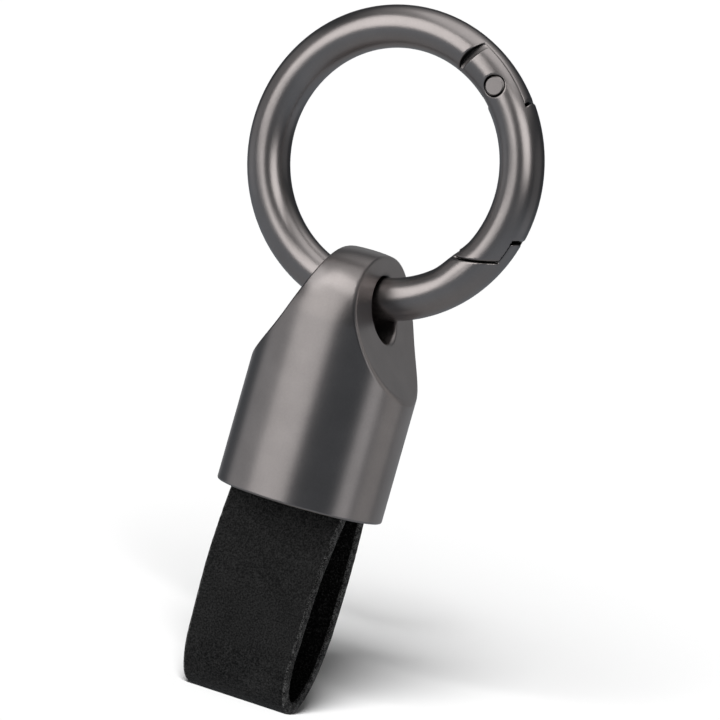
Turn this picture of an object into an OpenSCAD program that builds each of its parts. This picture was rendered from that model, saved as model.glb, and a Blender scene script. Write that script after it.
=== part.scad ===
// Carabiner keyring: a spring-gate O-ring, a metal fob barrel hanging on it, and a leather strap loop.
// Millimetres. The ring lies in the XZ plane with its centre at the origin, and the fob hangs along -Z.

/* [Ring] */
// Outside diameter of the ring
ring_od = 36.5; // [35.5:0.5:38]
// Wire diameter of the ring body
wire_d = 5; // [4.8:0.1:5.1]
// Extra diameter of the gate over the ring body
gate_extra_d = 0.2; // [0:0.05:0.3]

/* [Gate] */
// Angle of the gate pivot round the ring, from +X towards +Z
pivot_angle = 50; // [46:1:54]
// Diameter of the pivot pin
pin_d = 2.4; // [2:0.1:2.6]
// Thickness of the two tongues that run in the gate's slots
tongue_w = 2.6; // [2.2:0.1:2.8]
// Distance from the pivot to the end of the gate's nose
nose_reach = 20.15; // [19.5:0.05:20.6]
// Gap between the closed gate and the ring body at the nose
nose_gap = 0.2; // [0.2:0.05:0.5]

/* [Fob barrel] */
// Diameter of the barrel
barrel_d = 19.7; // [19:0.1:21]
// Height of the barrel from its rim to its top
barrel_h = 30.1; // [29.5:0.1:32]
// Diameter of the cross hole that the ring passes through
eye_d = 7.4; // [7.2:0.1:7.8]
// Height of the cross hole above the rim
eye_height = 24; // [23.8:0.1:24.2]
// Radius of the concave scoop on each side of the barrel
scoop_r = 24; // [22:1:36]
// Half thickness of the barrel at its top
top_half_w = 2.45; // [2.3:0.05:2.7]

/* [Strap] */
// Width of the leather strap
strap_w = 14.5; // [12:0.1:14.8]
// Thickness of the leather
leather_t = 1.4; // [1.2:0.1:1.7]
// Length of the loop below the barrel's rim
loop_drop = 23.8; // [23.5:0.1:30]
// How far the loop bulges to its front, outside
loop_front = 5.6; // [5:0.1:6]
// How far the loop bulges to its back, outside
loop_back = 4.5; // [4:0.1:5]

/* [Hidden] */
$fn = 96;

metal = [0.33, 0.32, 0.31];
steel = [0.62, 0.62, 0.64];
leather = [0.07, 0.07, 0.075];
nylon = [0.16, 0.16, 0.17];

far = 60;                                  // half size of a cutter that clears the whole part
over = 1;                                  // how far a cutter runs past the face that it opens
pitch_r = (ring_od - wire_d) / 2;          // from the ring's centre to the middle of its wire
gate_wire_d = wire_d + gate_extra_d;
pivot = [pitch_r * cos(pivot_angle), pitch_r * sin(pivot_angle)];
fit_gap = 0.1;                             // side clearance of the hinge tongue in its slot
latch_fit_gap = 0.2;
pin_half = 2.42;                           // pin's flat heads stand this far from the ring's middle plane
pin_chamfer = 0.2;
head_seat_d = 2.56;                        // shallow recess round each head of the pin
head_seat_y = 2;

shoulder_r = 5.15;                         // ring body's round shoulder, struck from the pivot
heel_reach = 4.2;                          // pivot to the gate's flat heel
heel_turn = 6;                             // the heel faces this much inside the wire's direction
knuckle_r = 2.4;                           // tongue's round end about the pin
knuckle_gap = 0.15;
tongue_floor = 0.6;                        // tongues start this far outside the pitch circle
floor_gap = 0.1;
stop_r = 3.95;                             // outer horn of the hinge tongue
stop_slot_r = 4.3;                         // end of the slot that the horn sits in
latch_tip_r = 18.3;                        // tip of the latch tongue, from the pivot
latch_slot_r = 17.95;                      // end of the slot in the gate's nose
latch_root_r = 19.3;                       // the latch tongue fills the wire's whole width beyond this
root_gap = 0.15;
swing_relief = 29;                         // slot opened this far so that the gate can swing in
swing_relief_out = 7;

plunger_offset = 0.9;                      // plunger axis, inward of the pivot
plunger_d = 1.6;
plunger_l = 2.6;
plunger_seat = 1.9;                        // pivot to the flat that the plunger pushes on
plunger_bore_d = 1.7;
plunger_bore_end = 8.2;
touch_gap = 0.03;
spring_wire_d = 0.25;
spring_d = 1.25;                           // middle of the spring's wire
spring_turns = 7;

eye_z = -(sqrt(pow(pitch_r - wire_d / 2, 2) - pow(top_half_w, 2)) + eye_d / 2) + 0.1;
rim_z = eye_z - eye_height;
top_z = rim_z + barrel_h;
crown_r = 8.5;                             // rounding of the barrel's top
rim_round = 0.25;
scoop_start = 14.6;                        // height of the scoops' lower edge above the rim
scoop_low = [barrel_d / 2, rim_z + scoop_start];
scoop_high = [top_half_w, top_z];
scoop_mid = (scoop_low + scoop_high) / 2;
scoop_chord = scoop_high - scoop_low;
scoop_rise = sqrt(pow(scoop_r, 2) - pow(norm(scoop_chord) / 2, 2));
scoop_centre = scoop_mid + [scoop_chord[1], -scoop_chord[0]] / norm(scoop_chord) * scoop_rise;
barrel_wall = 1.35;
cavity_d = barrel_d - 2 * barrel_wall;
cavity_depth = 11;
plug_lift = 1.5;                           // plug sits this far inside the rim
plug_h = 8;

mouth_half_w = 3.1;                        // half the strap's thickness where it leaves the plug
flare_depth = 13;                          // the loop opens out over this depth below the plug
loop_low = 1;                              // its lowest line hangs this far to the front
front_curve_h = 6.5;                       // height of the round end's front quarter
back_curve_h = 10.5;
strap_up = 8;                              // strap ends reach this far into the barrel
rivet_up = 5;
rivet_d = 2.4;
strap_steps = 14;

// Cutters and helpers -------------------------------------------------------------------------

// An outline drawn in X and Z, extruded equally to both sides of Y = 0
module across_y(width) rotate([90, 0, 0]) linear_extrude(width, center = true) children();

// An outline drawn in Y and Z, extruded equally to both sides of X = 0
module across_x(width) rotate([90, 0, 90]) linear_extrude(width, center = true) children();

module wire_ring(d) rotate([90, 0, 0]) rotate_extrude() translate([pitch_r, 0]) circle(d = d);

module disc_at_pivot(r) translate(pivot) circle(r = r);

// The half of the XZ plane on the gate's side of the pivot
module gate_side() rotate(pivot_angle) translate([-far, -2 * far]) square(2 * far);

module outside_floor(gap) difference() {
    square(2 * far, center = true);
    circle(r = pitch_r + tongue_floor - gap);
}

// Everything between the ring body's two shoulders
module gate_gap() {
    disc_at_pivot(shoulder_r);
    intersection() {
        disc_at_pivot(nose_reach + nose_gap);
        gate_side();
    }
}

// A wedge at the pivot, opened from the inward direction towards the gate
module swing_wedge() translate(pivot) rotate(pivot_angle + 180)
    polygon([[0, 0], [far, -far * tan(swing_relief_out)], [far, far * tan(swing_relief)]]);

module plunger_flat() translate(pivot) rotate(pivot_angle - 90)
    translate([plunger_seat, -far]) square([far, far]);

module hinge_tongue() {
    difference() {
        disc_at_pivot(shoulder_r + over);
        gate_side();
    }
    difference() {
        disc_at_pivot(knuckle_r);
        plunger_flat();
    }
    intersection() {
        disc_at_pivot(stop_r);
        gate_side();
        outside_floor(0);
    }
}

// A band struck from the pivot, from one radius out past the closed nose, on the gate's side
module latch_band(r) intersection() {
    difference() {
        disc_at_pivot(nose_reach + nose_gap + over);
        disc_at_pivot(r);
    }
    gate_side();
}

module latch_tongue() {
    intersection() {
        latch_band(latch_tip_r);
        outside_floor(0);
    }
    latch_band(latch_root_r);
}

module hinge_slot() {
    difference() {
        disc_at_pivot(shoulder_r + over);
        gate_side();
    }
    disc_at_pivot(knuckle_r + knuckle_gap);
    swing_wedge();
    intersection() {
        disc_at_pivot(stop_slot_r);
        gate_side();
        outside_floor(floor_gap);
    }
}

module latch_slot() {
    intersection() {
        latch_band(latch_slot_r);
        outside_floor(floor_gap);
    }
    latch_band(latch_root_r - root_gap);
}

// The gate seen from the side, from its flat heel to its round nose
module gate_outline() {
    intersection() {
        disc_at_pivot(nose_reach);
        gate_side();
    }
    intersection() {
        disc_at_pivot(shoulder_r);
        difference() {
            translate(pivot) rotate(pivot_angle + 90 + heel_turn)
                translate([-far, -far]) square([far + heel_reach, 2 * far]);
            gate_side();
        }
    }
}

// Places children on the plunger's axis, which runs down the gate from beside the pivot
module on_plunger_axis() rotate([90, 0, 0]) translate([pivot[0], pivot[1], 0])
    rotate(pivot_angle - 90) translate([0, -plunger_offset, 0]) rotate([0, 90, 0]) children();

module at_pin() translate([pivot[0], 0, pivot[1]]) rotate([90, 0, 0]) children();

// Sub-parts -----------------------------------------------------------------------------------

module ring_body() color(metal) difference() {
    wire_ring(wire_d);
    for (side = [-1, 1])
        translate([0, side * (tongue_w + far) / 2, 0]) across_y(far) gate_gap();
    across_y(tongue_w) difference() {
        gate_gap();
        hinge_tongue();
        latch_tongue();
    }
    at_pin() cylinder(h = far, d = pin_d + 2 * touch_gap, center = true);
}

module gate() color(metal) difference() {
    intersection() {
        wire_ring(gate_wire_d);
        across_y(2 * wire_d) gate_outline();
    }
    across_y(tongue_w + 2 * fit_gap) hinge_slot();
    across_y(tongue_w + 2 * latch_fit_gap) latch_slot();
    at_pin() cylinder(h = far, d = pin_d, center = true);
    for (side = [0, 1])
        mirror([0, side, 0]) at_pin() translate([0, 0, head_seat_y]) cylinder(h = wire_d, d = head_seat_d);
    on_plunger_axis() cylinder(h = plunger_bore_end, d = plunger_bore_d);
}

module gate_pivot_pin() color(steel) at_pin() rotate_extrude() polygon([
    [0, -pin_half], [pin_d / 2 - pin_chamfer, -pin_half], [pin_d / 2, pin_chamfer - pin_half],
    [pin_d / 2, pin_half - pin_chamfer], [pin_d / 2 - pin_chamfer, pin_half], [0, pin_half]]);

module gate_plunger() color(steel) on_plunger_axis()
    translate([0, 0, plunger_seat + touch_gap + plunger_d / 2]) {
        sphere(d = plunger_d);
        cylinder(h = plunger_l - plunger_d / 2, d = plunger_d);
    }

// One ring of points round the spring's wire, at a given share of the spring's length
function coil_section(share, length, sides) = let (turn = 360 * spring_turns * share)
    [for (i = [0:sides - 1]) let (a = 360 * i / sides, r = spring_d / 2 + spring_wire_d / 2 * cos(a))
        [r * cos(turn), r * sin(turn), length * share + spring_wire_d / 2 * sin(a)]];

module coil(length) {
    sides = 6;
    steps = 14 * spring_turns;
    points = [for (k = [0:steps]) each coil_section(k / steps, length, sides)];
    walls = [for (k = [0:steps - 1], i = [0:sides - 1]) let (j = (i + 1) % sides)
        [k * sides + i, (k + 1) * sides + i, (k + 1) * sides + j, k * sides + j]];
    first = [for (i = [0:sides - 1]) i];
    last = [for (i = [sides - 1:-1:0]) steps * sides + i];
    polyhedron(points, concat(walls, [first], [last]));
}

module gate_spring() {
    start = plunger_seat + plunger_l + spring_wire_d / 2 + 2 * touch_gap;
    end = plunger_bore_end - spring_wire_d / 2 - touch_gap;
    color(steel) on_plunger_axis() translate([0, 0, start]) coil(end - start);
}

// The barrel's side, from its axis out, with a rounded top and a slightly rounded rim
module barrel_side() intersection() {
    union() {
        translate([0, rim_z]) square([barrel_d / 2 - rim_round, barrel_h - crown_r]);
        translate([0, rim_z + rim_round]) square([barrel_d / 2, barrel_h - crown_r - rim_round]);
        translate([barrel_d / 2 - rim_round, rim_z + rim_round]) circle(r = rim_round);
        translate([0, rim_z + over]) square([barrel_d / 2 - crown_r, barrel_h - over]);
        translate([barrel_d / 2 - crown_r, top_z - crown_r]) circle(r = crown_r);
    }
    translate([0, rim_z]) square([barrel_d / 2, barrel_h]);
}

module fob_barrel() color(metal) difference() {
    rotate_extrude() barrel_side();
    for (side = [-1, 1])
        across_y(2 * barrel_d) translate([side * scoop_centre[0], scoop_centre[1]]) circle(r = scoop_r);
    translate([0, 0, eye_z]) rotate([0, 90, 0]) cylinder(h = far, d = eye_d, center = true);
    translate([0, 0, rim_z - over]) cylinder(h = cavity_depth + over, d = cavity_d);
}

// Distance from the strap's middle plane to the loop's outside at a depth below the plug
function loop_reach(bulge, depth) =
    mouth_half_w + (bulge - mouth_half_w) * sin(90 * min(1, depth / flare_depth));

// One side of the loop from the top down to its lowest line, drawn a thickness inside the outside
function loop_side(bulge, low, curve_h, inset) = concat(
    [for (i = [0:strap_steps]) let (depth = flare_depth * i / strap_steps)
        [loop_reach(bulge, depth) - inset, rim_z + plug_lift - depth]],
    [for (a = [0:10:80])
        [low + (bulge - low - inset) * cos(a), rim_z - loop_drop + curve_h - (curve_h - inset) * sin(a)]]);

module loop_shape(inset, up) {
    back = loop_side(loop_back, -loop_low, back_curve_h, inset);
    front = loop_side(loop_front, loop_low, front_curve_h, inset);
    polygon(concat(
        [[mouth_half_w - inset, rim_z + up]],
        back,
        [[-loop_low, rim_z - loop_drop + inset]],
        [for (i = [len(front) - 1:-1:0]) [-front[i][0], front[i][1]]],
        [[inset - mouth_half_w, rim_z + up]]));
}

module rivet_hole() translate([0, 0, rim_z + rivet_up]) rotate([90, 0, 0])
    cylinder(h = far, d = rivet_d, center = true);

module strap() color(leather) difference() {
    across_x(strap_w) difference() {
        loop_shape(0, strap_up);
        loop_shape(leather_t, strap_up + over);
    }
    rivet_hole();
}

module strap_plug() color(nylon) difference() {
    translate([0, 0, rim_z + plug_lift]) cylinder(h = plug_h, d = cavity_d);
    translate([0, 0, rim_z])
        cube([strap_w + 4 * fit_gap, 2 * (mouth_half_w + fit_gap), far], center = true);
}

module strap_spacer() color(nylon) difference() {
    translate([0, 0, rim_z + (plug_lift + strap_up) / 2])
        cube([strap_w, 2 * (mouth_half_w - leather_t - fit_gap), strap_up - plug_lift], center = true);
    rivet_hole();
}

module strap_rivet() color(steel) translate([0, 0, rim_z + rivet_up]) rotate([90, 0, 0])
    cylinder(h = 2 * mouth_half_w, d = rivet_d, center = true);

ring_body();
gate();
gate_pivot_pin();
gate_plunger();
gate_spring();
fob_barrel();
strap();
strap_plug();
strap_spacer();
strap_rivet();
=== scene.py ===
"""Looks for the carabiner keyring: satin black-nickel metal, a folded leather strap and a pale studio.

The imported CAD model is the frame. Finer skins of the same sizes, with rounded edges, stand in for the ring,
the gate and the barrel, and a leather loop for the strap. The small pieces keep their CAD nodes.
Lengths are in metres, except in the distance fields, which are in millimetres.
"""

import math

import bmesh
import bpy
import numpy as np
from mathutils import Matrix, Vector, noise


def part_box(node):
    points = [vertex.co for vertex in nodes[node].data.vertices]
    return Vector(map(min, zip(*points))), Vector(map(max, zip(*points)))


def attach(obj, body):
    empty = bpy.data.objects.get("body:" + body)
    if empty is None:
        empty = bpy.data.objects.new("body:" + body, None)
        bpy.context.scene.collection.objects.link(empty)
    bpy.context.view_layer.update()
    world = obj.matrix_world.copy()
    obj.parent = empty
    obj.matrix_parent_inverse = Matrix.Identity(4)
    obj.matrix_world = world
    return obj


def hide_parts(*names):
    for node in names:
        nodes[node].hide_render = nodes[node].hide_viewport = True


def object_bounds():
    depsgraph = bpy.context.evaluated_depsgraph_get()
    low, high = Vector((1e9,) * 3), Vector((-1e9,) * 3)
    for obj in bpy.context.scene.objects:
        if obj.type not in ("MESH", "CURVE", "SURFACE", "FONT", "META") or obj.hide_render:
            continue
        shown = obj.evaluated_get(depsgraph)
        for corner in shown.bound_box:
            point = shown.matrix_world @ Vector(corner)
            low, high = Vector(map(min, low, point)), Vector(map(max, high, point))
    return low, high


MM = 0.001

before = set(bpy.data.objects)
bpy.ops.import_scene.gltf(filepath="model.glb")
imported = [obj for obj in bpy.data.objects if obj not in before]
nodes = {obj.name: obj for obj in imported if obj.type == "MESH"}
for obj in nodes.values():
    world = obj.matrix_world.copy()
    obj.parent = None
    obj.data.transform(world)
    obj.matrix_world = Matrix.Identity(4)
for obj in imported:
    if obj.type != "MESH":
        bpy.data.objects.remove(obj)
cad_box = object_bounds()

# Camera -------------------------------------------------------------------------------------------

CAMERA_AZIMUTH = 21.8  # degrees round the ring's axis, towards the gate's side
CAMERA_ELEVATION = 4.9
CAMERA_ROLL = 15.85  # the keyring leans clockwise in the picture by this much
CAMERA_DISTANCE = 2.0
FRAME_WIDTH = 82.9 * MM  # width of the view at the ring
RING_OFFSET = Vector((4.04, 22.71)) * MM  # ring's centre from the middle of the view, right and up


def direction(azimuth, elevation):
    """The unit way from the keyring to a camera or light at these angles in degrees."""
    a, e = math.radians(azimuth), math.radians(elevation)
    return Vector((math.sin(a) * math.cos(e), -math.cos(a) * math.cos(e), math.sin(e)))


def make_camera():
    azimuth, roll = math.radians(CAMERA_AZIMUTH), math.radians(CAMERA_ROLL)
    level = Vector((math.cos(azimuth), math.sin(azimuth), 0))
    back = direction(CAMERA_AZIMUTH, CAMERA_ELEVATION)
    upright = back.cross(level)
    right = level * math.cos(roll) + upright * math.sin(roll)
    up = upright * math.cos(roll) - level * math.sin(roll)
    data = bpy.data.cameras.new("camera")
    data.lens = data.sensor_width * CAMERA_DISTANCE / FRAME_WIDTH
    data.clip_start = 0.1
    data.clip_end = 30
    camera = bpy.data.objects.new("camera", data)
    bpy.context.collection.objects.link(camera)
    aim = -(right * RING_OFFSET.x + up * RING_OFFSET.y)
    turn = camera.matrix_world.copy()
    for row in range(3):
        turn[row] = right[row], up[row], back[row], aim[row] + back[row] * CAMERA_DISTANCE
    camera.matrix_world = turn
    bpy.context.scene.camera = camera


make_camera()

# Node graphs --------------------------------------------------------------------------------------


class Graph:
    """A material's or world's node tree, with short calls for the nodes that this script uses."""

    def __init__(self, owner):
        owner.use_nodes = True
        self.tree = owner.node_tree
        self.tree.nodes.clear()

    def add(self, kind, settings=None, **inputs):
        """A new node with these settings, and inputs given by name with _ for a space."""
        node = self.tree.nodes.new(kind)
        for key, value in (settings or {}).items():
            setattr(node, key, value)
        for key, value in inputs.items():
            self.put(node, key.replace("_", " "), value)
        return node

    def put(self, node, place, value):
        """Links or sets the input socket that has this name or number."""
        socket = node.inputs[place]
        if isinstance(value, bpy.types.NodeSocket):
            self.tree.links.new(value, socket)
        else:
            socket.default_value = value

    def coordinates(self):
        return self.add("ShaderNodeTexCoord").outputs["Object"]

    def noise(self, size, detail=2.0, roughness=0.5):
        """Noise whose blobs are about size metres across."""
        made = self.add("ShaderNodeTexNoise", Vector=self.coordinates(), Scale=1 / size, Detail=detail,
                        Roughness=roughness)
        return made.outputs["Fac"]

    def cells(self, size, feature="F1"):
        made = self.add("ShaderNodeTexVoronoi", {"feature": feature}, Vector=self.coordinates(),
                        Scale=1 / size)
        return made.outputs["Distance"]

    def spread(self, value, low, high, to_low=0.0, to_high=1.0):
        """Maps low..high to to_low..to_high."""
        made = self.add("ShaderNodeMapRange", Value=value, From_Min=low, From_Max=high, To_Min=to_low,
                        To_Max=to_high)
        return made.outputs["Result"]

    def sum(self, a, b, share):
        """a + share * b"""
        scaled = self.add("ShaderNodeMath", {"operation": "MULTIPLY_ADD"})
        self.put(scaled, 0, b)
        self.put(scaled, 1, share)
        self.put(scaled, 2, a)
        return scaled.outputs[0]

    def blend(self, factor, a, b):
        """Colour a where factor is 0, b where it is 1."""
        made = self.add("ShaderNodeMix", {"data_type": "RGBA"})
        self.put(made, 0, factor)
        self.put(made, 6, a)
        self.put(made, 7, b)
        return made.outputs[2]

    def bump(self, height, depth, normal=None):
        """A bump whose full height is depth metres."""
        made = self.add("ShaderNodeBump", Height=height, Distance=depth)
        if normal is not None:
            self.put(made, "Normal", normal)
        return made.outputs["Normal"]

    def surface(self, **inputs):
        shader = self.add("ShaderNodeBsdfPrincipled", **inputs)
        self.add("ShaderNodeOutputMaterial", Surface=shader.outputs[0])


def grey(level, warmth=0.0):
    """A grey that is warmer for a positive warmth, as a colour socket's value."""
    return (level * (1 + warmth), level, level * (1 - warmth), 1)


# Materials ----------------------------------------------------------------------------------------

NICKEL_TINT = (1.085, 1.0, 0.98)
STEEL_TINT = (1.0, 1.0, 1.02)
PAINTED_SHADE_DEPTH = 1.3 * MM  # how near other metal has to be for the painted shade to darken a crevice


def plated_metal(name, tint, level, roughness, grain):
    """Satin black-nickel plate over a blasted casting: fine pits and cloudy tone, with painted shade
    darkening its crevices.
    """
    material = bpy.data.materials.new(name)
    g = Graph(material)
    cloud = g.noise(4 * MM, detail=3)
    pits = g.noise(grain, detail=2, roughness=0.6)
    tone = g.sum(g.spread(cloud, 0.3, 0.7, 0.2, 0.8), g.spread(pits, 0.3, 0.7, -0.5, 0.5), 0.3)
    shades = [[level * share * channel for channel in tint] + [1] for share in (0.9, 1.1)]
    plate = g.blend(tone, *shades)
    # Painted shade: ambient occlusion blends the plate's colour towards near-black in crevices and seams,
    # where shade falls.
    painted_shade_openness = g.add("ShaderNodeAmbientOcclusion", {"samples": 8}, Distance=PAINTED_SHADE_DEPTH).outputs["AO"]
    colour = g.blend(g.spread(painted_shade_openness, 0.4, 0.82), grey(0.006), plate)
    g.surface(Base_Color=colour, Metallic=1.0, Roughness=roughness, Normal=g.bump(pits, grain * 0.015))
    return material


def leather_face():
    """The smooth outer side: fine pebbled grain with paler tips, a few pores and a dull rubbed sheen."""
    material = bpy.data.materials.new("leather_face")
    g = Graph(material)
    pebbles = g.cells(0.3 * MM)
    fine = g.noise(0.2 * MM, detail=3, roughness=0.7)
    cloud = g.noise(3.5 * MM, detail=3)
    height = g.sum(g.spread(pebbles, 0.0, 0.6, 1.0, 0.0), fine, 0.8)
    tips = g.spread(g.sum(fine, cloud, 0.2), 0.5, 0.74)
    colour = g.blend(tips, grey(0.0), grey(0.028))
    g.surface(Base_Color=colour, Roughness=g.spread(cloud, 0.3, 0.7, 0.58, 0.7), Specular_IOR_Level=0.25,
              Normal=g.bump(height, 0.05 * MM))
    return material


def leather_flesh():
    """The rough inner side: a short dense nap."""
    material = bpy.data.materials.new("leather_flesh")
    g = Graph(material)
    nap = g.noise(0.2 * MM, detail=4, roughness=0.7)
    colour = g.blend(g.spread(nap, 0.5, 0.74), grey(0.001), grey(0.04))
    g.surface(Base_Color=colour, Roughness=0.9, Specular_IOR_Level=0.08, Normal=g.bump(nap, 0.08 * MM))
    return material


def leather_edge():
    """The raw cut edge: dyed fibres with paler cut ends."""
    material = bpy.data.materials.new("leather_edge")
    g = Graph(material)
    fibres = g.noise(0.16 * MM, detail=4, roughness=0.8)
    clumps = g.noise(0.7 * MM, detail=2)
    colour = g.blend(g.spread(g.sum(fibres, clumps, 0.3), 0.6, 0.82), grey(0.003), grey(0.16))
    g.surface(Base_Color=colour, Roughness=0.85, Specular_IOR_Level=0.2, Normal=g.bump(fibres, 0.1 * MM))
    return material


def moulded_nylon():
    """Black nylon with a faintly cloudy matt surface."""
    material = bpy.data.materials.new("moulded_nylon")
    g = Graph(material)
    cloud = g.noise(0.8 * MM, detail=3)
    colour = g.blend(g.spread(cloud, 0.3, 0.7), grey(0.018), grey(0.028))
    g.surface(Base_Color=colour, Roughness=g.spread(cloud, 0.3, 0.7, 0.5, 0.62),
              Normal=g.bump(cloud, 0.02 * MM))
    return material


GUNMETAL = plated_metal("black_nickel", NICKEL_TINT, level=0.36, roughness=0.29, grain=0.24 * MM)
PIN_METAL = plated_metal("black_nickel_pin", NICKEL_TINT, level=0.34, roughness=0.42, grain=0.12 * MM)
STEEL = plated_metal("drawn_steel", STEEL_TINT, level=0.6, roughness=0.25, grain=0.1 * MM)
NYLON = moulded_nylon()

for node_name, material in {
    "gate_pivot_pin": PIN_METAL,
    "gate_plunger": STEEL,
    "gate_spring": STEEL,
    "strap_rivet": STEEL,
    "strap_plug": NYLON,
    "strap_spacer": NYLON,
}.items():
    nodes[node_name].data.materials[0] = material

# Metal pieces as distance fields, in millimetres ----------------------------------------------------
#
# Each field is below 0 inside the metal. The sizes are the CAD part's, so each piece lies where its
# node does, and adds the small edge radii that the CAD node leaves out.

PITCH_R = 15.75
WIRE_D = 5.0
GATE_WIRE_D = 5.2
PIVOT_ANGLE = math.radians(50)
PIVOT_X = PITCH_R * math.cos(PIVOT_ANGLE)
PIVOT_Z = PITCH_R * math.sin(PIVOT_ANGLE)
SHOULDER_R = 5.15
NOSE_REACH = 20.15
NOSE_GAP = 0.2
TONGUE_HALF = 1.3
TONGUE_FLOOR = 0.6
FLOOR_GAP = 0.1
FIT_GAP = 0.1
LATCH_FIT_GAP = 0.2
KNUCKLE_R = 2.4
KNUCKLE_GAP = 0.15
STOP_R = 3.95
STOP_SLOT_R = 4.3
LATCH_TIP_R = 18.3
LATCH_SLOT_R = 17.95
LATCH_ROOT_R = 19.3
ROOT_GAP = 0.15
HEEL_REACH = 4.2
HEEL_ANGLE = PIVOT_ANGLE + math.radians(96)
RELIEF_IN = math.radians(29)
RELIEF_OUT = math.radians(7)
PIN_HOLE_R = 1.23
HEAD_SEAT_R = 1.28
HEAD_SEAT_Y = 2.0
PLUNGER_SEAT = 1.9
PLUNGER_OFFSET = 0.9
PLUNGER_BORE_R = 0.85
PLUNGER_BORE_END = 8.2
BARREL_R = 9.85
BARREL_H = 30.1
CROWN_R = 8.5
RIM_ROUND = 0.25
SCOOP_R = 24
SCOOP_START = 14.6
TOP_HALF = 2.45
EYE_R = 3.7
EYE_HEIGHT = 24
CAVITY_R = 8.5
CAVITY_DEPTH = 11
RIM_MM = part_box("fob_barrel")[0][2] / MM
ROOT_IN = 1  # the tongues' roots go this far into the wire

LIP_HEIGHT = 0.25  # swelling of the wire's inner side at the latch
LIP_ANGLE = math.radians(-39)
LIP_SPAN = math.radians(13)
EDGE_R = 0.2  # edges of the ring and gate
SLOT_EDGE_R = 0.16
SCOOP_EDGE_R = 0.35
EYE_EDGE_R = 0.3
RING_CELL = 0.15  # grid that a skin is made on
BARREL_CELL = 0.18
SMOOTH_PASSES = 3
SETTLE_STEPS = 4
FLATTEST = 0.3  # least slope that a field is taken to have


def both(*fields):
    """What all the fields share."""
    shared = fields[0]
    for other in fields[1:]:
        shared = np.maximum(shared, other)
    return shared


def either(*fields):
    """What any of the fields holds."""
    joined = fields[0]
    for other in fields[1:]:
        joined = np.minimum(joined, other)
    return joined


def rounded(a, b, radius):
    """What two fields share, with the edge between them rounded."""
    corner = np.hypot(np.maximum(a + radius, 0), np.maximum(b + radius, 0))
    return np.minimum(-radius, np.maximum(a, b)) + corner


def wire(x, y, z, diameter):
    """The ring's round wire, with a low lip on its inner side where gate and body meet at the latch."""
    out = np.hypot(x, z) - PITCH_R
    near = np.clip(1 - abs(np.arctan2(z, x) - LIP_ANGLE) / LIP_SPAN, 0, 1)
    lip = LIP_HEIGHT * near**2 * (3 - 2 * near)
    return np.hypot(np.maximum(out, np.minimum(out + lip, 0)), y) - diameter / 2


def round_pivot(x, z, radius):
    """A cylinder about the gate's pivot."""
    return np.hypot(x - PIVOT_X, z - PIVOT_Z) - radius


def turned(x, z, angle):
    """Distances from the pivot along a direction and to its left."""
    x, z = x - PIVOT_X, z - PIVOT_Z
    return x * math.cos(angle) + z * math.sin(angle), z * math.cos(angle) - x * math.sin(angle)


def gate_side(x, z):
    """Below 0 on the gate's side of the line from the ring's centre through the pivot."""
    return z * math.cos(PIVOT_ANGLE) - x * math.sin(PIVOT_ANGLE)


def outside_floor(x, z, gap):
    """The part of the wire outside the slots' floor, which is an arc about the ring's centre."""
    return PITCH_R + TONGUE_FLOOR - gap - np.hypot(x, z)


def tongues(x, z):
    """Outline of the ring's two tongues: the knuckle and stop at the hinge, and the hook at the latch."""
    along, across = turned(x, z, PIVOT_ANGLE - math.pi / 2)
    flat = both(PLUNGER_SEAT - along, across)
    side = gate_side(x, z)
    outer = outside_floor(x, z, 0)
    root = both(round_pivot(x, z, SHOULDER_R + ROOT_IN), -side)
    knuckle = both(round_pivot(x, z, KNUCKLE_R), -flat)
    stop = both(round_pivot(x, z, STOP_R), outer)
    latch = both(-round_pivot(x, z, LATCH_TIP_R), side, outer)
    latch_root = both(-round_pivot(x, z, LATCH_ROOT_R), side)
    return either(root, knuckle, stop, latch, latch_root)


def ring_body(x, y, z):
    """The wire with the gate's gap cut out, but for the tongues."""
    gap = either(round_pivot(x, z, SHOULDER_R),
                 both(round_pivot(x, z, NOSE_REACH + NOSE_GAP), gate_side(x, z)))
    kept = either(-gap, both(abs(y) - TONGUE_HALF, tongues(x, z)))
    return both(rounded(wire(x, y, z, WIRE_D), kept, EDGE_R), -round_pivot(x, z, PIN_HOLE_R))


def hinge_slot(x, z):
    """Room in the gate for the hinge's tongue, with a wedge that the tongue sweeps as the gate opens."""
    along, across = turned(x, z, PIVOT_ANGLE + math.pi)
    wedge = both(-across * math.cos(RELIEF_OUT) - along * math.sin(RELIEF_OUT),
                 across * math.cos(RELIEF_IN) - along * math.sin(RELIEF_IN))
    side = gate_side(x, z)
    outer = outside_floor(x, z, FLOOR_GAP)
    root = both(round_pivot(x, z, SHOULDER_R + ROOT_IN), -side)
    knuckle = round_pivot(x, z, KNUCKLE_R + KNUCKLE_GAP)
    stop = both(round_pivot(x, z, STOP_SLOT_R), outer)
    return either(root, knuckle, wedge, stop)


def latch_slot(x, z):
    """Room in the gate's nose for the latch's tongue."""
    side = gate_side(x, z)
    tip = both(-round_pivot(x, z, LATCH_SLOT_R), side, outside_floor(x, z, FLOOR_GAP))
    return either(tip, both(ROOT_GAP - round_pivot(x, z, LATCH_ROOT_R), side))


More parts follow.
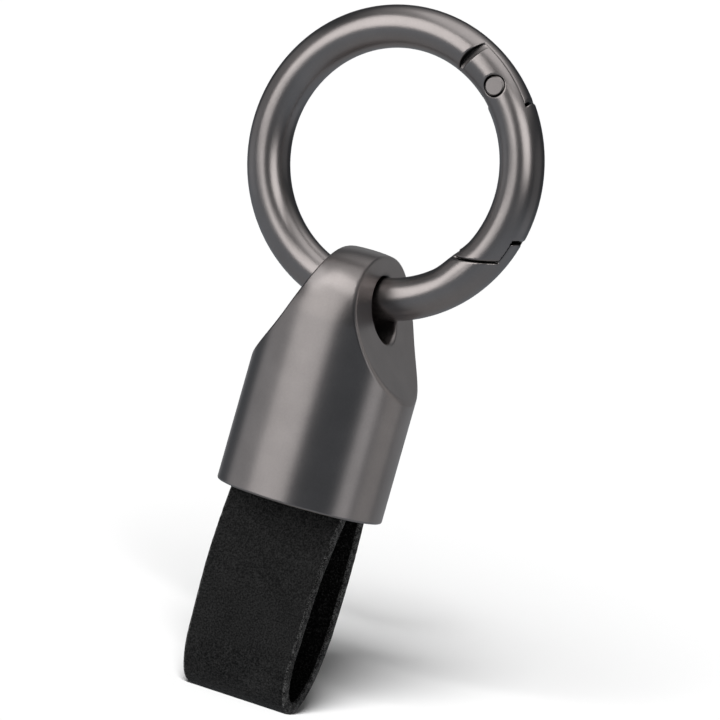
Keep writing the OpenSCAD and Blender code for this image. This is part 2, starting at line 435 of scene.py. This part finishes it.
def gate(x, y, z):
    """The gate's wire between two arcs about the pivot, less its slots, plunger bore and pin head seats."""
    side = gate_side(x, z)
    heel = turned(x, z, HEEL_ANGLE)[0] - HEEL_REACH
    outline = either(both(round_pivot(x, z, NOSE_REACH), side),
                     both(round_pivot(x, z, SHOULDER_R), heel))
    slots = either(both(abs(y) - TONGUE_HALF - FIT_GAP, hinge_slot(x, z)),
                   both(abs(y) - TONGUE_HALF - LATCH_FIT_GAP, latch_slot(x, z)))
    along, across = turned(x, z, PIVOT_ANGLE - math.pi / 2)
    bore = both(np.hypot(across + PLUNGER_OFFSET, y) - PLUNGER_BORE_R, along - PLUNGER_BORE_END, -along)
    seat = both(round_pivot(x, z, HEAD_SEAT_R), HEAD_SEAT_Y - abs(y))
    metal = rounded(wire(x, y, z, GATE_WIRE_D), outline, EDGE_R)
    metal = rounded(metal, -slots, SLOT_EDGE_R)
    return both(rounded(metal, -seat, SLOT_EDGE_R), -bore)


def scoop_centre():
    """Middle of the scoop circle through both ends of the scoop, in X and Z."""
    low = np.array([BARREL_R, RIM_MM + SCOOP_START])
    high = np.array([TOP_HALF, RIM_MM + BARREL_H])
    chord = high - low
    span = np.linalg.norm(chord)
    rise = math.sqrt(SCOOP_R**2 - (span / 2) ** 2)
    return (low + high) / 2 + np.array([chord[1], -chord[0]]) / span * rise


def fob_barrel(x, y, z):
    """The domed barrel with its two scoops, cross hole and cavity."""
    out = np.hypot(x, y)
    top = RIM_MM + BARREL_H
    metal = rounded(out - BARREL_R, z - top, CROWN_R)
    metal = rounded(metal, RIM_MM - z, RIM_ROUND)
    middle = scoop_centre()
    metal = rounded(metal, SCOOP_R - np.hypot(abs(x) - middle[0], z - middle[1]), SCOOP_EDGE_R)
    metal = rounded(metal, EYE_R - np.hypot(y, z - RIM_MM - EYE_HEIGHT), EYE_EDGE_R)
    cavity = both(out - CAVITY_R, z - RIM_MM - CAVITY_DEPTH)
    return rounded(metal, -cavity, SLOT_EDGE_R)


def crossed_cells(field, low, high, cell):
    """The grid cells that a field's surface crosses, and the quads that join their middles."""
    axes = [np.arange(a, b + cell, cell) for a, b in zip(low, high)]
    x, y, z = np.meshgrid(*axes, indexing="ij", sparse=True)
    inside = np.broadcast_to(field(x, y, z) < 0, [len(a) for a in axes])
    corners = np.zeros([n - 1 for n in inside.shape], np.int8)
    for i in (0, 1):
        for j in (0, 1):
            for k in (0, 1):
                corners += inside[i:i - 1 or None, j:j - 1 or None, k:k - 1 or None]
    crossed = (corners > 0) & (corners < 8)
    number = np.full(crossed.shape, -1)
    number[crossed] = np.arange(crossed.sum())
    middles = np.array(low) + (np.argwhere(crossed) + 0.5) * cell
    quads = []
    for axis in range(3):
        near = np.moveaxis(inside, axis, 0)
        at = np.argwhere(near[:-1] != near[1:])
        leaving = near[:-1][tuple(at.T)]
        places = np.empty_like(at)
        others = [a for a in range(3) if a != axis]
        places[:, axis] = at[:, 0]
        places[:, others[0]] = at[:, 1]
        places[:, others[1]] = at[:, 2]
        one, two = np.eye(3, dtype=int)[(axis + 1) % 3], np.eye(3, dtype=int)[(axis + 2) % 3]
        loop = [places, places - one, places - one - two, places - two]
        quad = np.stack([number[tuple(p.T)] for p in loop], axis=1)
        quads.append(np.where(leaving[:, None], quad, quad[:, ::-1]))
    return middles, np.concatenate(quads)


def slopes(field, points):
    """How far points lie from a field's surface, and the field's unit slopes there."""
    reach = 1e-4
    grown = []
    for axis in range(3):
        step = np.zeros(3)
        step[axis] = reach
        ahead, behind = points + step, points - step
        grown.append((field(*ahead.T) - field(*behind.T)) / (2 * reach))
    slope = np.stack(grown, axis=1)
    size = np.linalg.norm(slope, axis=1, keepdims=True)
    return field(*points.T)[:, None] / np.maximum(size, FLATTEST), slope / np.maximum(size, 1e-9)


def settle(field, points, limit):
    """Moves points down a field's slope on to its surface."""
    for _ in range(SETTLE_STEPS):
        value, slope = slopes(field, points)
        points = points - slope * np.clip(value, -limit, limit)
    return points


def skin(name, field, low, high, cell, material, body, replaced):
    """Builds the surface of a field as a smooth mesh that rides on a body in place of its CAD node."""
    points, quads = crossed_cells(field, low, high, cell)
    points = settle(field, points, cell)
    ends = np.concatenate([quads[:, [0, 1]], quads[:, [1, 2]], quads[:, [2, 3]], quads[:, [3, 0]]])
    count = np.bincount(ends[:, 0], minlength=len(points))[:, None]
    for _ in range(SMOOTH_PASSES):
        total = np.stack([np.bincount(ends[:, 0], weights=points[ends[:, 1], a], minlength=len(points))
                          for a in range(3)], axis=1)
        points = settle(field, (points + total / count) / 2, cell)
    normals = slopes(field, points)[1]
    mesh = bpy.data.meshes.new(name)
    mesh.from_pydata((points * MM).tolist(), [], quads.tolist())
    mesh.polygons.foreach_set("use_smooth", [True] * len(quads))
    mesh.normals_split_custom_set_from_vertices(normals.tolist())
    mesh.materials.append(material)
    piece = bpy.data.objects.new(name, mesh)
    bpy.context.collection.objects.link(piece)
    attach(piece, body)
    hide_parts(replaced)


def node_room(node_name, margin=0.35):
    """A node's box in millimetres, with a margin."""
    low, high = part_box(node_name)
    return [v / MM - margin for v in low], [v / MM + margin for v in high]


skin("ring_shell", ring_body, *node_room("ring_body"), RING_CELL, GUNMETAL, "ring", "ring_body")
skin("gate_shell", gate, *node_room("gate"), RING_CELL, GUNMETAL, "gate", "gate")
skin("barrel_shell", fob_barrel, *node_room("fob_barrel"), BARREL_CELL, GUNMETAL, "fob", "fob_barrel")

# Strap --------------------------------------------------------------------------------------------

LEATHER_THICKNESS = 1.4 * MM
MOUTH_HALF = 3.1 * MM  # outside of the loop where it leaves the plug
PLUG_LIFT = 1.5 * MM  # the plug's lower face is this far inside the barrel's rim
LOOP_FRONT = 5.6 * MM  # how far the loop bulges to its front, outside
LOOP_BACK = 4.5 * MM
FLARE_DEPTH = 13 * MM
LOOP_LOW = 1 * MM  # its lowest line hangs this far to the front
FRONT_CURVE_H = 6.5 * MM  # height of the round end's front quarter
BACK_CURVE_H = 10.5 * MM
LOOP_DROP = 23.8 * MM
STRAP_UP = 8 * MM
STRAP_WIDTH = 14.5 * MM
STRAP_LOW_WIDTH = 13.2 * MM
CUT_RADIUS = 0.3 * MM  # rounding of the strip's long edges
SWAY_SIZE = 8 * MM  # the strip isn't quite flat
SWAY = 0.03 * MM
FRAY_SIZE = 0.45 * MM
FRAY = 0.035 * MM
HIDDEN_STEPS = 10
FLARE_STEPS = 40
STRAIGHT_STEPS = 8
CURVE_STEPS = 32
ACROSS_STEPS = 28
CORNER_STEPS = 5
FACE, EDGE, FLESH = range(3)  # regions of the strip's surface, numbered as its materials are
RIM_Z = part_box("fob_barrel")[0][2]


def loop_side(bulge, low, curve_h):
    """The strip's middle line on one side, from its hidden end down to just short of its lowest point."""
    inset = LEATHER_THICKNESS / 2
    plug_z = RIM_Z + PLUG_LIFT
    hidden = STRAP_UP - PLUG_LIFT
    points = [(MOUTH_HALF - inset, plug_z + hidden * (1 - k / HIDDEN_STEPS)) for k in range(HIDDEN_STEPS)]
    for k in range(FLARE_STEPS):
        half = MOUTH_HALF + (bulge - MOUTH_HALF) * math.sin(math.pi / 2 * k / FLARE_STEPS)
        points.append((half - inset, plug_z - FLARE_DEPTH * k / FLARE_STEPS))
    centre_z = RIM_Z - LOOP_DROP + curve_h
    top_z = points[-1][1]
    for k in range(1, STRAIGHT_STEPS):
        points.append((bulge - inset, top_z + (centre_z - top_z) * k / STRAIGHT_STEPS))
    for k in range(CURVE_STEPS):
        a = math.pi / 2 * k / CURVE_STEPS
        across = low + (bulge - low - inset) * math.cos(a)
        points.append((across, centre_z - (curve_h - inset) * math.sin(a)))
    return points


def loop_line():
    """Points of the strip's middle line in Y and Z, from the back's hidden end round to the front's."""
    back = loop_side(LOOP_BACK, -LOOP_LOW, BACK_CURVE_H)
    lowest = (-LOOP_LOW, RIM_Z - LOOP_DROP + LEATHER_THICKNESS / 2)
    front = loop_side(LOOP_FRONT, LOOP_LOW, FRONT_CURVE_H)
    return [Vector(p) for p in back + [lowest] + [(-y, z) for y, z in reversed(front)]]


def strip_outline(width):
    """A cross-section of the strip, as (across, outward, region) points round its outline."""
    flat = width / 2 - CUT_RADIUS
    thick = LEATHER_THICKNESS / 2
    points = []
    for side, region in ((1, FACE), (-1, FLESH)):
        for k in range(ACROSS_STEPS):
            points.append((side * flat * (2 * k / ACROSS_STEPS - 1), side * thick, region))
        for out, start in ((thick - CUT_RADIUS, 90), (CUT_RADIUS - thick, 0)):
            for k in range(CORNER_STEPS):
                a = math.radians(start - 90 * k / CORNER_STEPS)
                across = flat + CUT_RADIUS * math.cos(a)
                points.append((side * across, side * (out + CUT_RADIUS * math.sin(a)), EDGE))
    return points


def strip_point(middle, outward, across, out, region):
    """A point of the strip's surface, which sways a little and is frayed at the cut edge."""
    place = Vector((across, middle.x + outward.x * out, middle.y + outward.y * out))
    sway = noise.noise(place / SWAY_SIZE) * SWAY
    fray = noise.noise(place / FRAY_SIZE) * FRAY if region == EDGE else 0
    return place + Vector((fray * math.copysign(1, across), outward.x * sway, outward.y * sway))


def make_strap():
    line = loop_line()
    lowest = min(p.y for p in line)
    regions = [region for _, _, region in strip_outline(STRAP_WIDTH)]
    bm = bmesh.new()
    sections = []
    for k, middle in enumerate(line):
        ahead = (line[min(k + 1, len(line) - 1)] - line[max(k - 1, 0)]).normalized()
        outward = Vector((-ahead.y, ahead.x))
        depth = max(0.0, min(1.0, (RIM_Z - middle.y) / (RIM_Z - lowest)))
        outline = strip_outline(STRAP_WIDTH + (STRAP_LOW_WIDTH - STRAP_WIDTH) * depth)
        sections.append([bm.verts.new(strip_point(middle, outward, *point)) for point in outline])
    for a, b in zip(sections, sections[1:]):
        for i, region in enumerate(regions):
            j = (i + 1) % len(regions)
            face = bm.faces.new((a[i], a[j], b[j], b[i]))
            face.material_index = region
            face.smooth = True
    for end in (reversed(sections[0]), sections[-1]):
        bm.faces.new(list(end)).material_index = EDGE
    bmesh.ops.recalc_face_normals(bm, faces=bm.faces)
    mesh = bpy.data.meshes.new("leather_strap")
    bm.to_mesh(mesh)
    bm.free()
    for material in (leather_face(), leather_edge(), leather_flesh()):
        mesh.materials.append(material)
    strap = bpy.data.objects.new("leather_strap", mesh)
    bpy.context.collection.objects.link(strap)
    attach(strap, "fob")
    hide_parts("strap")


make_strap()

# Studio -------------------------------------------------------------------------------------------

FLOOR_Z = cad_box[0][2] - 0.05 * MM
LIGHT_DISTANCE = 0.6
SUN_AZIMUTH = 16
SUN_ELEVATION = 24
SUN_WIDTH = 16
SUN_POWER = 8.1
ROOM_FLOOR = 0.26  # brightness of the room that the metal mirrors
ROOM_WALL = 0.055
ROOM_CEILING = 0.6
ROOM_WARMTH = -0.1
SKY_GLOW = 0.08  # what the world adds to the floor and leather


def make_floor():
    bpy.ops.mesh.primitive_plane_add(size=16, location=(0, 0, FLOOR_Z))
    floor = bpy.context.object
    floor.name = "floor"
    material = bpy.data.materials.new("floor")
    g = Graph(material)
    g.surface(Base_Color=grey(0.9), Roughness=0.9, Specular_IOR_Level=0.0)
    floor.data.materials.append(material)
    floor.visible_glossy = False
    return floor


def light_only(light, lit_pieces):
    """Lets a light fall on these pieces alone."""
    lit = bpy.data.collections.new(light.name + "_lights")
    for piece in lit_pieces:
        lit.objects.link(piece)
    light.light_linking.receiver_collection = lit


def soft_box(name, only, azimuth, elevation, width, height, glow, warmth=0.0):
    """An area light that faces the keyring from a direction given as the camera's is.

    glow is its brightness as the metal mirrors it, and only names the pieces that it lights.
    """
    way = direction(azimuth, elevation)
    data = bpy.data.lights.new(name, "AREA")
    data.shape = "RECTANGLE"
    data.size = width
    data.size_y = height
    data.energy = glow * math.pi * width * height
    data.color = (1 + warmth, 1, 1 - warmth)
    light = bpy.data.objects.new(name, data)
    bpy.context.collection.objects.link(light)
    middle = (Vector(cad_box[0]) + Vector(cad_box[1])) / 2
    light.location = middle + way * LIGHT_DISTANCE
    light.rotation_mode = "QUATERNION"
    light.rotation_quaternion = way.to_track_quat("Z", "Y")
    light.visible_camera = False
    light_only(light, only)


def make_sun(floor):
    """Lights the floor alone, so that the keyring throws one soft shadow to its back."""
    data = bpy.data.lights.new("sun", "SUN")
    data.energy = SUN_POWER
    data.angle = math.radians(SUN_WIDTH)
    sun = bpy.data.objects.new("sun", data)
    bpy.context.collection.objects.link(sun)
    sun.rotation_mode = "QUATERNION"
    sun.rotation_quaternion = direction(SUN_AZIMUTH, SUN_ELEVATION).to_track_quat("Z", "Y")
    light_only(sun, [floor])


def make_world():
    """Pale behind the floor, and a dim room for the metal to mirror between the lights."""
    world = bpy.data.worlds.new("studio")
    bpy.context.scene.world = world
    g = Graph(world)
    way = g.add("ShaderNodeTexCoord").outputs["Generated"]
    height = g.add("ShaderNodeSeparateXYZ", Vector=way).outputs["Z"]
    ramp = g.add("ShaderNodeValToRGB", Fac=g.spread(height, -1, 1))
    stops = ramp.color_ramp.elements
    stops[0].color = grey(ROOM_FLOOR)
    stops[1].color = grey(ROOM_CEILING)
    for place, level in ((0.3, ROOM_FLOOR), (0.5, ROOM_WALL), (0.8, ROOM_WALL)):
        stops.new(place).color = grey(level, ROOM_WARMTH)
    room = g.add("ShaderNodeBackground", Color=ramp.outputs["Color"], Strength=1.0)
    sky = g.add("ShaderNodeBackground", Color=grey(1.0), Strength=SKY_GLOW)
    pale = g.add("ShaderNodeBackground", Color=grey(1.0), Strength=1.0)
    rays = g.add("ShaderNodeLightPath")
    lit = g.add("ShaderNodeMixShader")
    g.put(lit, 0, rays.outputs["Is Glossy Ray"])
    g.put(lit, 1, sky.outputs[0])
    g.put(lit, 2, room.outputs[0])
    seen = g.add("ShaderNodeMixShader")
    g.put(seen, 0, rays.outputs["Is Camera Ray"])
    g.put(seen, 1, lit.outputs[0])
    g.put(seen, 2, pale.outputs[0])
    g.add("ShaderNodeOutputWorld", Surface=seen.outputs[0])


floor = make_floor()
make_world()
pieces = [piece for piece in bpy.data.objects if piece.type == "MESH" and piece is not floor]
barrel = [bpy.data.objects["barrel_shell"]]
others = [piece for piece in pieces if piece not in barrel]
ring = [bpy.data.objects["ring_shell"], bpy.data.objects["gate_shell"], nodes["gate_pivot_pin"]]
soft_box("key", others, azimuth=-28, elevation=21, width=0.5, height=0.54, glow=1.6, warmth=0.01)
soft_box("ring_side", ring, azimuth=44, elevation=26, width=0.36, height=0.36, glow=1.7, warmth=0.01)
soft_box("ring_left", ring, azimuth=-85, elevation=5, width=0.5, height=0.5, glow=0.18)
soft_box("ring_right", ring, azimuth=115, elevation=5, width=0.5, height=0.5, glow=0.1)
soft_box("ring_top", ring, azimuth=20, elevation=82, width=0.6, height=0.6, glow=0.5)
soft_box("barrel_key", barrel, azimuth=-25, elevation=15, width=0.66, height=0.6, glow=1.02, warmth=0.01)
soft_box("barrel_left", barrel, azimuth=-70, elevation=42, width=0.4, height=0.24, glow=0.9)
soft_box("barrel_low", barrel, azimuth=-75, elevation=-5, width=0.5, height=0.4, glow=0.32)
soft_box("crown", barrel, azimuth=-20, elevation=58, width=0.5, height=0.3, glow=1.2, warmth=0.01)
soft_box("barrel_side", barrel, azimuth=84, elevation=2, width=0.24, height=0.4, glow=0.6)
soft_box("barrel_back", barrel, azimuth=120, elevation=8, width=0.4, height=0.5, glow=0.33, warmth=0.03)
soft_box("barrel_rear", barrel, azimuth=-175, elevation=8, width=1.1, height=0.6, glow=0.2)
make_sun(floor)

bpy.context.scene.view_settings.view_transform = "Standard"
